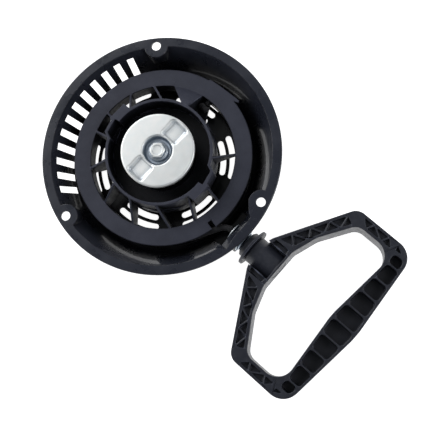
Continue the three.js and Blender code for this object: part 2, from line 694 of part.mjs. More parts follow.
// Triangles that zigzag along a strip between two lines.
function trussCells(inner, outer, count) {
  return Array.from({ length: count }, (_, i) => {
    const [near, far] = i % 2 ? [inner, outer] : [outer, inner];
    return [along(near, (i - 0.5) / count), along(near, (i + 1.5) / count), along(far, (i + 0.5) / count)];
  });
}

function sideCells() {
  const side = trussCells(SIDE_INNER, SIDE_OUTER, SIDE_CELLS);
  return [...trussCells(ARM_INNER, ARM_OUTER, ARM_CELLS), ...side, CORNER_CELL, BARREL_CELL];
}

// Pockets sunk from both faces of the handle, down to floors that far from its middle.
function pockets(cells, cornerR, floor) {
  const half = HANDLE_T / 2;
  return cells.flatMap((cell) => {
    const outline = roundedShape(inset(cell, RIB_HALF).map(([x, y]) => [x, y, cornerR]));
    return [prism(outline, floor, half + 1, 3), prism(outline, -half - 1, -floor, 3)];
  });
}

function handleFrame() {
  const half = HANDLE_T / 2;
  const body = prism(handleOutline(), -half, half, 6).subtract(prism(handOpening(), -half - 1, half + 1, 6));
  const upper = sideCells();
  const lower = upper.map((cell) => cell.map(([x, y]) => [x, -y]));
  const cuts = [
    ...pockets(gripCells(), 2.4, HANDLE_WEB / 2), ...pockets([...upper, ...lower], 0.4, half - TRUSS_DEPTH),
  ];
  const throat = [[HANDLE_WEB / 2, half + 1], [-half - 1, -HANDLE_WEB / 2]]
    .map((z) => box([90, BARREL_END - 1.6], [-BARREL_R - 0.6, BARREL_R + 0.6], z));
  const barrelStart = COLLAR_X + 2.5;
  const barrel = turnedAlongX([
    [0, barrelStart], [BARREL_R, barrelStart], [BARREL_R, BARREL_END], [0, BARREL_END],
  ], 32);
  const ropeBore = ROPE_D / 2 + 0.7;
  const bore = turnedAlongX([
    [0, 80], [7.5, 80], [7.5, COLLAR_X + 5.3], [ropeBore, COLLAR_X + 5.3], [ropeBore, KNOT_SEAT_X],
    [KNOT_ROOM_R, KNOT_SEAT_X], [KNOT_ROOM_R, 130], [0, 130],
  ], 24);
  return body.subtract(union([...cuts, ...throat])).add(barrel).subtract(bore);
}

function knotWasher() {
  const start = KNOT_SEAT_X + GAP;
  const bore = ROPE_D / 2 + 0.5;
  return turnedAlongX([[bore, start], [6.4, start], [6.4, start + 1], [bore, start + 1]], 28);
}

function handlePlug() {
  const r = KNOT_ROOM_R - GAP;
  const inner = BARREL_END - 1.8;
  return turnedAlongX([[0, inner], [r, inner], [r, BARREL_END - 0.4], [0, BARREL_END + 0.3]], 28);
}

// ---------------------------------------------------------------- assembly
function finish(color, roughness, metalness) {
  return new THREE.MeshStandardMaterial({ color, roughness, metalness });
}

const GLOSS_PAINT = finish(0x16181c, 0.25, 0.1);
const BLACK_PLASTIC = finish(0x2a2b30, 0.55, 0);
const REEL_PLASTIC = finish(0x3b3c41, 0.6, 0);
const ZINC = finish(0xcfd3d4, 0.35, 0.9);
const SPRING_STEEL = finish(0x5b6470, 0.4, 0.9);
const POST_STEEL = finish(0x9a9da0, 0.4, 0.9);
const NYLON = finish(0xd8d4c4, 0.5, 0);
const ROPE_FIBRE = finish(0x1d1d20, 0.9, 0);

function node(name, body, material) {
  const mesh = new THREE.Mesh(geometryOf(body), material);
  mesh.name = name;
  return mesh;
}

const starter = new THREE.Group();
starter.add(
  node('housing', housing(), GLOSS_PAINT),
  node('centre_post', centrePost(), POST_STEEL),
  node('lower_thrust_washer', washer(ARBOR_TOP + GAP), POST_STEEL),
  node('recoil_spring', recoilSpring(), SPRING_STEEL),
  node('spring_keeper', springKeeper(), ZINC),
  node('reel', reel(), REEL_PLASTIC),
  node('reel_bush', reelBush(), NYLON),
  node('upper_thrust_washer', washer(BOSS_TOP + GAP), NYLON),
  node('retainer_plate', retainerPlate(), ZINC),
  node('centre_bolt', centreBolt(), ZINC),
  node('rope_coil', ropeCoil(), ROPE_FIBRE),
  node('rope_lead', ropeLead(), ROPE_FIBRE),
  node('reel_knot', reelKnot(), ROPE_FIBRE),
);

const outlet = new THREE.Group();
outlet.rotation.z = rad(OUTLET_ANGLE);
outlet.position.set(0, OUTLET_OFFSET, ROPE_Z).applyAxisAngle(UP, rad(OUTLET_ANGLE));
outlet.add(
  node('rope_guide', ropeGuide(), BLACK_PLASTIC),
  node('guide_eyelet', eyelet(), ZINC),
  node('eyelet_washer', eyeletWasher(), ZINC),
);

const handle = new THREE.Group();
handle.rotation.z = rad(HANDLE_ANGLE);
handle.position.copy(onRope(0));
handle.add(
  node('handle_collar', handleCollar(), BLACK_PLASTIC),
  node('handle_frame', handleFrame(), BLACK_PLASTIC),
  node('handle_knot', ball(4.6, KNOT_SEAT_X + 6.3, 0.95), ROPE_FIBRE),
  node('knot_washer', knotWasher(), POST_STEEL),
  node('handle_plug', handlePlug(), BLACK_PLASTIC),
);
starter.add(outlet, handle);

export default starter;
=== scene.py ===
# Recoil starter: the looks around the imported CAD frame. Metres; +Z points to the engine.
import json
import math

import bmesh
import bpy
from mathutils import Matrix, Vector


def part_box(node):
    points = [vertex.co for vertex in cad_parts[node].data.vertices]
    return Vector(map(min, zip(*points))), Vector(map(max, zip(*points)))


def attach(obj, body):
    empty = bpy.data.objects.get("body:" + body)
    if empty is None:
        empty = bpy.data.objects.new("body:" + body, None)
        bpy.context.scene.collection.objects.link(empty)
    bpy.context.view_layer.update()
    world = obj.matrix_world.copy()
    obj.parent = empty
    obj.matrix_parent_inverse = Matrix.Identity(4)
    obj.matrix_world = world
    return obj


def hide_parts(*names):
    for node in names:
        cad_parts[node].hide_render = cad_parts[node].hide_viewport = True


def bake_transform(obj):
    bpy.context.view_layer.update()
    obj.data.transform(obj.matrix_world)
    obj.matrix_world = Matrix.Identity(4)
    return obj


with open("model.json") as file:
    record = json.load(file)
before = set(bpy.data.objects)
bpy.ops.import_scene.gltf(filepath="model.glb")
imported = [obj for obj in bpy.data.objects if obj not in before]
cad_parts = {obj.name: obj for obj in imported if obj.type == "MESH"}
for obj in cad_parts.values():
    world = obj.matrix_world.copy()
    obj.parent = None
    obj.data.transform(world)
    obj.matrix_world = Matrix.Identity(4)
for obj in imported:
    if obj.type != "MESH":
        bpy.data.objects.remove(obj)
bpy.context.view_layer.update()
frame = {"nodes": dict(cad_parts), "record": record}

MM = 0.001
scene = bpy.context.scene
scene.view_settings.view_transform = "Standard"
scene.view_settings.look = "None"

# ---------------------------------------------------------------- sizes in millimetres, angles in degrees
# The main ones are the CAD part's. VENT_Z and the pan's wall follow the photograph more closely.
# Pan
PAN_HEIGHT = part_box("housing")[1].z / MM
FLANGE_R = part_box("housing")[1].x / MM
SHEET, FLANGE_T = 1.6, 2
FLANGE_BOTTOM = PAN_HEIGHT - FLANGE_T
MOUTH_R, FLOOR_R = 79.2, 66.4
BEAD_R, BEAD_HEIGHT = (57.5, 58.5, 61, 62), 1
HOLE_CIRCLE_R, HOLE_R, LOBE_R = 79.8, 3.3, 8.6
HOLE_ANGLES = (93.3, 213.3, 333.3)
SHOULDER_REACH = 10.8
VENT_COUNT, VENT_FIRST, VENT_PITCH, VENT_WIDTH = 12, 109.1, 8.05, 5
VENT_CUT_R, VENT_Z = (60, 82), (7, 24.6)
GRILLE_ROWS = ((41.4, 36), (48.1, 39), (54.8, 39))
GRILLE_HALF, GRILLE_FIRST, GRILLE_GROUPS = 2.1, 4, 6

# Outlet. Its X runs outward along the rope's hole.
OUTLET_ANGLE, OUTLET_OFFSET, ROPE_Z = -39.5, -9.6, 17
BAY_BACK, BAY_FACE, BAY_FACE_TOP, BAY_FLOOR = 50, 75, 25, 3
BAY_SIDES = (-12.7, 15.8)
BAY_MOUTH = [(50, 15.8), (76.8, 15.8), (80, -12.7), (71.2, -18.6), (50, -18.6)]
GUIDE_X, GUIDE_HALF, GUIDE_TOP, GUIDE_CORNER = (76.9, 82.6), 10, 7.7, 3
GUIDE_BORE_R, GUIDE_BORE_X = 4.4, (70, 90)

# Reel. A rib, web or pocket side is an angle at the hub and an angle at the drum.
HUB_R, HUB_WALL, HUB_BOTTOM, HUB_FLOOR = 36.3, 2, 5.2, (15, 17)
POCKET_R, BLOCK_R, BLOCK_BOTTOM = 39.8, 43.5, 18.3
RATCHET_ANGLES = (142, 322)
RIM_Z, REEL_TOP, REEL_BOTTOM = 36, 21.8, 9
RIB_TOP = RIM_Z - 0.8
REEL_R = (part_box("reel")[1].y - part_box("reel")[0].y) / 2 / MM
DRUM_R, DRUM_INNER_R, LOWER_FLANGE_R, REEL_FLANGE_T = 54, 52.2, 60, 2
RIB_T, WEB_BOTTOM, RIB_BOTTOM = 1.6, 19.5, 10
RIBS = ((87.5, 98), (124.5, 117.5), (144.5, 141), (163, 158), (187, 188.5), (214.5, 219), (238, 248),
        (267.5, 277.5), (304.5, 297), (324.5, 321))
SHALLOW_RIB, KNOT_RIB = (352, 360.3), (59.8, 57.8)
WEB_SECTOR, KNOT_SECTOR = ((59, 57), (64.5, 82)), ((41, 52), (59, 57))
BUSH_R, BOSS_R, BOSS_TOP = 9.6, 12, 32.4
INNER_WALL_R, INNER_WALL_TOP = (22, 24), 35.8
BOSS_RIB_ANGLES, BOSS_RIB_HALF, BOSS_RIB_TOP = (0, 60, 120), 1, 29.4
NOTCH_ANGLE, NOTCH_DEPTH, NOTCH_HALF = 306, 6, 1.5
# The tongue on the upper flange's rim, as (radius, angle).
TONGUE = ((63, 59), (65.4, 59), (65.3, 53.7), (65.5, 48.4), (66.1, 43), (67, 38.8), (67.7, 35.6),
          (66.3, 34.9), (64, 37.6), (62.5, 38))

# Retainer plate and bolt
PLATE_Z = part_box("retainer_plate")[1].z / MM
PLATE_R, PLATE_T, PLATE_HOLE_R, BOW_TIE_ANGLE = 26.2, 1.2, 3.2, 47
ARM_X, ARM_HALF, ARM_DEPTH = 17.2, (4.6, 4.5), 2.3
ARM_EDGE, ARM_SLOPE = 2.9, 2.4
NECK_HALF, NECK_END, NECK_SLOPE, NECK_DEPTH = 6.4, 15, 2.0, 1.5
WELL_R, WELL_SLOPE, WELL_DEPTH = 11.2, 2.6, 4.5
BOLT_FLANGE_R, BOLT_ACROSS_FLATS, BOLT_HEAD = 7.1, 10, 4.8
SHANK_R, SHANK_END = 2.9, 17.4

# Rope
ROPE_D, BRAID_PITCH = 4.5, 11
LEAD_R, BEND_X, BEND_REACH = 62.05, 67.5, 6
WOUND_R, WOUND_ROPE_R, WOUND_Z = 56.3, 2.1, (17.6, 13.3)
KNOT_ANGLE, REEL_KNOT_X, REEL_TAIL_X = 51.5, 46.4, (49, 54)

# Handle. Its X runs outward along the rope.
HANDLE_ANGLE, COLLAR_X, KNOT_SEAT_X = -41, 90.4, 103
BARREL_START, BARREL_R, BARREL_END = 92.9, 10, 116
COLLAR_R, SPIGOT_R, ROPE_BORE_R, PLUG_R = 13.8, 7.2, 2.95, 6.7
HANDLE_T, HANDLE_WEB, HALF_WIDTH, OPENING_HALF = 23, 3.4, 66.2, 57.3
GRIP_OUTER_X, GRIP_INNER_X, POCKET_PITCH = 183.9, 162.9, 12.7
POCKET_CORNER, CELL_CORNER = 2.6, 0.35
ARM_INNER = [(113.2, 15.6), (120.4, 33.6), (134.4, 55.6)]
ARM_OUTER = [(102.4, 15.2), (129.6, 61.6)]
SIDE_INNER = [(139.5, 58.7), (165, 58.7)]
SIDE_OUTER = [(136, 64.8), (162, 64.8)]
END_CELL = [(168.1, 50.8), (178.4, 50.8), (175.8, 58.8), (166.8, 58.8)]
CORNER_CELL = [(166.4, 60), (174.4, 60), (165.6, 64.9)]
BARREL_CELL = [(100.2, 10), (114.4, 10), (113.4, 14.4), (101.8, 14.4)]
RIB_HALF, TRUSS_DEPTH = 0.6, 3.5


def about_z(degrees):
    return Matrix.Rotation(math.radians(degrees), 4, "Z")


OUTLET = about_z(OUTLET_ANGLE) @ Matrix.Translation((0, OUTLET_OFFSET, ROPE_Z))
# The handle is turned about its collar, a little away from the outlet's direction.
HANDLE = (Matrix.Translation(OUTLET @ Vector((COLLAR_X, 0, 0))) @ about_z(HANDLE_ANGLE)
          @ Matrix.Translation((-COLLAR_X, 0, 0)))


# ---------------------------------------------------------------- camera, floor and light
CAMERA_PLACE, CAMERA_LENS = (0.11909, -0.14599, 0.60261), 71.41
# The axis of the camera's turn from straight down, as long as its angle in radians.
CAMERA_TURN = (0.174344, 0.136423, 0.0)
LIGHTS_AIM = (0.03, -0.03, 0.0)
# Brightness by how high a direction points: white at the horizon and below, dark grey overhead.
TENT = [(0.0, (1.0, 1.0, 1.0)), (0.22, (0.9, 0.9, 0.9)), (0.42, (0.17, 0.18, 0.19)),
        (1.0, (0.13, 0.135, 0.14))]


def make_camera():
    camera = bpy.data.objects.new("camera", bpy.data.cameras.new("camera"))
    camera.data.lens = CAMERA_LENS
    camera.data.sensor_width = 36.0
    camera.data.clip_start = 0.01
    turn = Vector(CAMERA_TURN)
    aim = Matrix.Rotation(turn.length, 4, turn.normalized())
    camera.matrix_world = Matrix.Translation(CAMERA_PLACE) @ aim
    scene.collection.objects.link(camera)
    scene.camera = camera


def area_light(name, spot, sides, power):
    light = bpy.data.lights.new(name, "AREA")
    light.shape = "RECTANGLE"
    light.size, light.size_y = sides
    light.energy = power
    lamp = bpy.data.objects.new(name, light)
    aim = (Vector(LIGHTS_AIM) - Vector(spot)).to_track_quat("-Z", "Y")
    lamp.matrix_world = Matrix.LocRotScale(Vector(spot), aim, None)
    scene.collection.objects.link(lamp)


def make_stage():
    floor_mesh = bpy.data.meshes.new("floor")
    half, height = 4.0, -0.0006
    pale = (0.93, 0.93, 0.93, 1)
    corners = [(x * half, y * half, height) for x, y in ((-1, -1), (1, -1), (1, 1), (-1, 1))]
    floor_mesh.from_pydata(corners, [], [(0, 1, 2, 3)])
    floor = bpy.data.objects.new("floor", floor_mesh)
    material = bpy.data.materials.new("floor_white")
    material.use_nodes = True
    shader = material.node_tree.nodes["Principled BSDF"]
    shader.inputs["Base Color"].default_value = pale
    shader.inputs["Roughness"].default_value = 0.9
    shader.inputs["Specular IOR Level"].default_value = 0.1
    shader.inputs["Emission Color"].default_value = (1, 1, 1, 1)
    shader.inputs["Emission Strength"].default_value = 0.95
    floor_mesh.materials.append(material)
    scene.collection.objects.link(floor)

    world = bpy.data.worlds.new("studio")
    world.use_nodes = True
    tree = world.node_tree
    direction = tree.nodes.new("ShaderNodeTexCoord")
    split = tree.nodes.new("ShaderNodeSeparateXYZ")
    tree.links.new(direction.outputs["Generated"], split.inputs["Vector"])
    tree.links.new(ramp(tree, split.outputs["Z"], TENT), tree.nodes["Background"].inputs["Color"])
    scene.world = world
    area_light("key", (-0.78, 0.62, 0.85), (1.2, 0.9), 11)
    area_light("fill", (0.95, -0.1, 0.8), (0.6, 0.8), 4)


# ---------------------------------------------------------------- materials (lengths in metres)
# The dark colour of the painted shade in hollows.
HOLLOW_SHADE_COLOUR = (0.0025, 0.0028, 0.0045)


def shader_of(name, roughness, metallic=0.0, specular=0.5, coat=0.0, coat_roughness=0.1):
    material = bpy.data.materials.new(name)
    material.use_nodes = True
    tree = material.node_tree
    shader = tree.nodes["Principled BSDF"]
    shader.inputs["Roughness"].default_value = roughness
    shader.inputs["Metallic"].default_value = metallic
    shader.inputs["Specular IOR Level"].default_value = specular
    shader.inputs["Coat Weight"].default_value = coat
    shader.inputs["Coat Roughness"].default_value = coat_roughness
    return material, tree, shader


def noise(tree, scale, detail=4.0, roughness=0.55, stretch=(1, 1, 1)):
    coordinates = tree.nodes.new("ShaderNodeTexCoord")
    mapping = tree.nodes.new("ShaderNodeMapping")
    mapping.inputs["Scale"].default_value = stretch
    texture = tree.nodes.new("ShaderNodeTexNoise")
    texture.inputs["Scale"].default_value = scale
    texture.inputs["Detail"].default_value = detail
    texture.inputs["Roughness"].default_value = roughness
    tree.links.new(coordinates.outputs["Object"], mapping.inputs["Vector"])
    tree.links.new(mapping.outputs["Vector"], texture.inputs["Vector"])
    return texture.outputs["Fac"]


def ramp(tree, value, stops):
    node = tree.nodes.new("ShaderNodeValToRGB")
    elements = node.color_ramp.elements
    while len(elements) < len(stops):
        elements.new(0.5)
    for element, (position, colour) in zip(elements, stops):
        element.position = position
        element.color = (*colour, 1)
    tree.links.new(value, node.inputs["Fac"])
    return node.outputs["Color"]


def spread(tree, value, low, high, start=0.35, end=0.65):
    """Maps a value's range, by default the middle that a noise stays in, to low and high."""
    node = tree.nodes.new("ShaderNodeMapRange")
    node.inputs["From Min"].default_value = start
    node.inputs["From Max"].default_value = end
    node.inputs["To Min"].default_value = low
    node.inputs["To Max"].default_value = high
    tree.links.new(value, node.inputs["Value"])
    return node.outputs["Result"]


def bump(tree, shader, value, strength, distance, before=None):
    node = tree.nodes.new("ShaderNodeBump")
    node.inputs["Strength"].default_value = strength
    node.inputs["Distance"].default_value = distance
    tree.links.new(value, node.inputs["Height"])
    if before is not None:
        tree.links.new(before, node.inputs["Normal"])
    tree.links.new(node.outputs["Normal"], shader.inputs["Normal"])
    return node.outputs["Normal"]


def edge_highlight(tree, colour, edge_lit, amount):
    """Painted highlight: a lighter colour close to edges, where the surface turns within half a millimetre.
    """
    geometry = tree.nodes.new("ShaderNodeNewGeometry")
    around = tree.nodes.new("ShaderNodeBevel")
    around.samples = 4
    around.inputs["Radius"].default_value = 0.0005
    turn = tree.nodes.new("ShaderNodeVectorMath")
    turn.operation = "DOT_PRODUCT"
    tree.links.new(geometry.outputs["Normal"], turn.inputs[0])
    tree.links.new(around.outputs["Normal"], turn.inputs[1])
    mask = spread(tree, turn.outputs["Value"], amount, 0.0, 0.8, 0.98)
    mix = tree.nodes.new("ShaderNodeMix")
    mix.data_type = "RGBA"
    mix.inputs["B"].default_value = (*edge_lit, 1)
    tree.links.new(mask, mix.inputs["Factor"])
    tree.links.new(colour, mix.inputs["A"])
    return mix.outputs["Result"]


def hollow_shade(tree, colour, reach, dark=HOLLOW_SHADE_COLOUR, edge=(0.45, 0.9)):
    """Painted shade: a darker colour in the hollows, where other surfaces stand within reach."""
    hollow = tree.nodes.new("ShaderNodeAmbientOcclusion")
    hollow.samples = 6
    hollow.inputs["Distance"].default_value = reach
    mix = tree.nodes.new("ShaderNodeMix")
    mix.data_type = "RGBA"
    mix.inputs["A"].default_value = (*dark, 1)
    tree.links.new(spread(tree, hollow.outputs["AO"], 0.0, 1.0, *edge), mix.inputs["Factor"])
    tree.links.new(colour, mix.inputs["B"])
    return mix.outputs["Result"]


def gloss_black_paint():
    material, tree, shader = shader_of(
        "gloss_black_paint", 0.34, specular=0.38, coat=0.45, coat_roughness=0.03)
    cloud = noise(tree, 60, 3)
    colour = ramp(tree, cloud, [(0.3, (0.020, 0.023, 0.034)), (0.7, (0.027, 0.030, 0.043))])
    # Painted shade in the hollows, then a painted highlight along the edges.
    edge_lit = edge_highlight(tree, hollow_shade(tree, colour, 0.03), (0.06, 0.061, 0.067), 0.7)
    tree.links.new(edge_lit, shader.inputs["Base Color"])
    tree.links.new(spread(tree, cloud, 0.22, 0.38), shader.inputs["Roughness"])
    pressed = bump(tree, shader, noise(tree, 34, 1), 0.3, 0.001)
    bump(tree, shader, noise(tree, 190, 2), 0.12, 0.0003, pressed)
    return material


def moulded_plastic(name, dark, light, roughness, specular, highlight_gain, shade_reach):
    """A fine-grained plastic. Its edges carry a painted highlight, a colour lighter by the given factor, and
    its hollows carry painted shade where a reach is given.
    """
    material, tree, shader = shader_of(name, roughness, specular=specular)
    cloud = noise(tree, 70, 4)
    colour = ramp(tree, cloud, [(0.3, dark), (0.7, light)])
    edge_lit = tuple(min(1, value * highlight_gain) for value in light)
    # Painted shade in the hollows, where a reach is given.
    if shade_reach:
        colour = hollow_shade(tree, colour, shade_reach)
    # Painted highlight along the edges.
    tree.links.new(edge_highlight(tree, colour, edge_lit, 0.8), shader.inputs["Base Color"])
    tree.links.new(spread(tree, noise(tree, 400, 3), roughness - 0.07, roughness + 0.09),
                   shader.inputs["Roughness"])
    fine = bump(tree, shader, noise(tree, 2600, 2), 0.2, 0.00015)
    bump(tree, shader, noise(tree, 240, 3), 0.1, 0.0003, fine)
    return material


def zinc_plate():
    material, tree, shader = shader_of("zinc_plate", 0.46, metallic=1.0)
    cloud = noise(tree, 150, 4, 0.5)
    colour = ramp(tree, cloud, [(0.3, (0.90, 0.94, 0.94)), (0.7, (0.97, 0.98, 0.97))])
    # Painted shade: a bluish grey in the hollows of the pressed dish and round the bolt.
    tree.links.new(hollow_shade(tree, colour, 0.005, (0.33, 0.39, 0.47), (0.68, 0.97)), shader.inputs["Base Color"])
    tree.links.new(spread(tree, noise(tree, 260, 3), 0.44, 0.52), shader.inputs["Roughness"])
    bump(tree, shader, noise(tree, 900, 3), 0.12, 0.0001)
    return material


def steel(name, colour, roughness):
    material, tree, shader = shader_of(name, roughness, metallic=1.0)
    rings = noise(tree, 300, 3, 0.5, (1, 1, 9))
    light = tuple(min(1, value * 1.35) for value in colour)
    tree.links.new(ramp(tree, rings, [(0.3, colour), (0.7, light)]), shader.inputs["Base Color"])
    tree.links.new(spread(tree, rings, roughness - 0.08, roughness + 0.1), shader.inputs["Roughness"])
    bump(tree, shader, rings, 0.1, 0.0001)
    return material


def nylon():
    material, tree, shader = shader_of("nylon", 0.45)
    shader.inputs["Subsurface Weight"].default_value = 0.15
    shader.inputs["Subsurface Scale"].default_value = 0.002
    cloud = noise(tree, 120, 3)
    tree.links.new(ramp(tree, cloud, [(0.3, (0.68, 0.65, 0.55)), (0.7, (0.78, 0.75, 0.66))]),
                   shader.inputs["Base Color"])
    bump(tree, shader, noise(tree, 900, 2), 0.08, 0.0001)
    return material


def rope_braid():
    material, tree, shader = shader_of("rope_braid", 0.85)
    shader.inputs["Sheen Weight"].default_value = 0.08
    cloud = noise(tree, 700, 4)
    tree.links.new(ramp(tree, cloud, [(0.3, (0.006, 0.006, 0.008)), (0.7, (0.02, 0.02, 0.024))]),
                   shader.inputs["Base Color"])
    bump(tree, shader, noise(tree, 3200, 3), 0.4, 0.0003)
    return material


MATERIALS = {
    "gloss_black_paint": gloss_black_paint(),
    # Both plastics carry a painted highlight on their edges; the reel's hollows carry painted shade.
    "reel_plastic": moulded_plastic(
        "reel_plastic", (0.040, 0.043, 0.062), (0.053, 0.057, 0.080), 0.5, 0.25, highlight_gain=2.2, shade_reach=0.02),
    "handle_plastic": moulded_plastic(
        "handle_plastic", (0.017, 0.019, 0.028), (0.026, 0.029, 0.041), 0.4, 0.5, highlight_gain=6, shade_reach=0.0),
    "zinc_plate": zinc_plate(),
    "spring_steel": steel("spring_steel", (0.16, 0.19, 0.24), 0.35),
    "turned_steel": steel("turned_steel", (0.42, 0.42, 0.42), 0.32),
    "nylon": nylon(),
    "rope_braid": rope_braid(),
}


def dress_cad_nodes():
    """Gives every CAD node the material of its slot. The pieces below take the place of most of them."""
    for row in frame["record"]["subparts"]:
        piece = frame["nodes"][row["node"]]
        piece.data.materials.clear()
        piece.data.materials.append(MATERIALS[row["material_slot"]])


# ---------------------------------------------------------------- mesh tools (millimetres until placed)
# How many facets a round thing has.
HOLE_FACETS, SMALL_FACETS, BORE_FACETS, PART_FACETS = 32, 48, 64, 96
HUB_FACETS, PAN_FACETS, DRUM_FACETS, PLATE_FACETS = 128, 180, 192, 192
# An edge sharper than this angle is rounded in this many steps.
EDGE_ANGLE, EDGE_SEGMENTS = 35, 3


def mesh_of(name, points, faces):
    mesh = bpy.data.meshes.new(name)
    mesh.from_pydata(points, [], faces)
    return mesh


def outward(mesh):
    """Makes every face of a closed mesh point out."""
    work = bmesh.new()
    work.from_mesh(mesh)
    bmesh.ops.remove_doubles(work, verts=work.verts, dist=1e-4)
    bmesh.ops.recalc_face_normals(work, faces=work.faces)
    work.to_mesh(mesh)
    work.free()
    return mesh


def rounded(corners, steps=5):
    """Points of a closed outline whose corners (x, y, radius) are arcs."""
    points = []
    for i, (x, y, radius) in enumerate(corners):
        here = Vector((x, y))
        if radius <= 0:
            points.append((x, y))
            continue
        back = (Vector(corners[i - 1][:2]) - here).normalized()
        ahead = (Vector(corners[(i + 1) % len(corners)][:2]) - here).normalized()
        half = back.angle(ahead) / 2
        centre = here + (back + ahead).normalized() * (radius / math.sin(half))
        start = here + back * (radius / math.tan(half)) - centre
        sweep = start.angle_signed(here + ahead * (radius / math.tan(half)) - centre)
        for k in range(steps + 1):
            turn = -sweep * k / steps
            cos, sin = math.cos(turn), math.sin(turn)
            points.append((centre.x + start.x * cos - start.y * sin,
                           centre.y + start.x * sin + start.y * cos))
    return points


def lathe(corners, segments):
    """A body turned about Z from a closed outline of (radius, z, fillet) corners."""
    points, rings = [], []
    for r, z in rounded(corners):
        if r < 1e-6:
            rings.append([len(points)] * segments)
            points.append((0, 0, z))
            continue
        rings.append(list(range(len(points), len(points) + segments)))
        points += [(r * math.cos(2 * math.pi * k / segments), r * math.sin(2 * math.pi * k / segments), z)
                   for k in range(segments)]
    faces = []
    for i, ring in enumerate(rings):
        last = rings[i - 1]
        if ring[0] == ring[1] and last[0] == last[1]:
            continue
        for k in range(segments):
            m = (k + 1) % segments
            corner = [last[k], last[m], ring[m], ring[k]]
            faces.append(list(dict.fromkeys(corner)))
    return outward(mesh_of("lathe", points, faces))


def rod(r, z0, z1, segments):
    """A plain cylinder about Z."""
    return lathe([(0, z0, 0), (r, z0, 0), (r, z1, 0), (0, z1, 0)], segments)


def prism(outline, z0, z1):
    """A body with the same outline from z0 to z1."""
    count = len(outline)
    points = [(x, y, z) for z in (z0, z1) for x, y in outline]
    faces = [list(range(count))[::-1], list(range(count, 2 * count))]
    faces += [(k, (k + 1) % count, count + (k + 1) % count, count + k) for k in range(count)]
    return outward(mesh_of("prism", points, faces))


def block(x, y, z):
    """A box from three (low, high) pairs."""
    return prism([(x[0], y[0]), (x[1], y[0]), (x[1], y[1]), (x[0], y[1])], z[0], z[1])


def disc(r, z0, z1, x=0.0, y=0.0, segments=SMALL_FACETS):
    angles = [2 * math.pi * k / segments for k in range(segments)]
    return prism([(x + r * math.cos(a), y + r * math.sin(a)) for a in angles], z0, z1)


def polar(r, degrees):
    return (r * math.cos(math.radians(degrees)), r * math.sin(math.radians(degrees)))


def grown(points, distance):
    """A convex outline moved outward."""
    centre = Vector([sum(axis) / len(points) for axis in zip(*points)])
    lines = []
    for i, point in enumerate(points):
        a, b = Vector(point), Vector(points[(i + 1) % len(points)])
        normal = (b - a).orthogonal().normalized()
        if normal.dot(a - centre) < 0:
            normal.negate()
        lines.append((normal, normal.dot(a) + distance))
    result = []
    for i, (normal, level) in enumerate(lines):
        last, last_level = lines[i - 1]
        det = last.x * normal.y - last.y * normal.x
        result.append(((last_level * normal.y - level * last.y) / det,
                       (last.x * level - normal.x * last_level) / det))
    return result


def moved(mesh, matrix):
    mesh.transform(matrix)
    return mesh


def turned(mesh, degrees):
    return moved(mesh, about_z(degrees))


def along_x(mesh):
    """Lays a body that was turned about Z along X."""
    return moved(mesh, Matrix.Rotation(math.radians(90), 4, "Y"))


def joined(meshes):
    """Meshes that don't touch each other, as one."""
    work = bmesh.new()
    for mesh in meshes:
        work.from_mesh(mesh)
    whole = bpy.data.meshes.new("joined")
    work.to_mesh(whole)
    work.free()
    return whole


def triangulated(mesh):
    """Splits every face, because triangles keep their shape when a long edge is bevelled."""
    work = bmesh.new()
    work.from_mesh(mesh)
    bmesh.ops.triangulate(work, faces=work.faces, quad_method="BEAUTY", ngon_method="BEAUTY")
    work.to_mesh(mesh)
    work.free()
    return mesh


def combined(base, others, operation):
    """base with each of the others added or cut away."""
    holder = bpy.data.objects.new("holder", base)
    scene.collection.objects.link(holder)
    tools = []
    for mesh in others:
        tool = bpy.data.objects.new("tool", mesh)
        scene.collection.objects.link(tool)
        tools.append(tool)
        step = holder.modifiers.new("step", "BOOLEAN")
        step.operation = operation
        step.solver = "MANIFOLD"
        step.object = tool
    bpy.context.view_layer.update()
    result = bpy.data.meshes.new_from_object(holder.evaluated_get(bpy.context.evaluated_depsgraph_get()))
    for extra in [holder, *tools]:
        bpy.data.objects.remove(extra)
    return triangulated(result)


def union(meshes):
    return combined(meshes[0], meshes[1:], "UNION")


def cut(base, *others):
    return combined(base, others, "DIFFERENCE")


def common(base, other):
    return combined(base, [other], "INTERSECT")


def shown(name, mesh, slot, node):
    """A smooth piece of one material, in place of a CAD node."""
    mesh.materials.clear()
    mesh.materials.append(MATERIALS[slot])
    for polygon in mesh.polygons:
        polygon.use_smooth = True
        polygon.material_index = 0
    piece = bpy.data.objects.new(name, mesh)
    scene.collection.objects.link(piece)
    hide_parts(node)
    return piece


def place(name, mesh, body, slot, node, matrix=None, bevel=0.0):
    """Turns a mesh in millimetres into a finished piece that rides on a body."""
    mesh.transform(Matrix.Scale(MM, 4) @ (matrix or Matrix.Identity(4)))
    piece = shown(name, mesh, slot, node)
    if bevel:
        edge = piece.modifiers.new("edges", "BEVEL")
        edge.width = bevel * MM
        edge.segments = EDGE_SEGMENTS
        edge.limit_method = "ANGLE"
        edge.angle_limit = math.radians(EDGE_ANGLE)
        edge.use_clamp_overlap = False
    normals = piece.modifiers.new("normals", "WEIGHTED_NORMAL")
    normals.keep_sharp = True
    normals.weight = 60
    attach(piece, body)


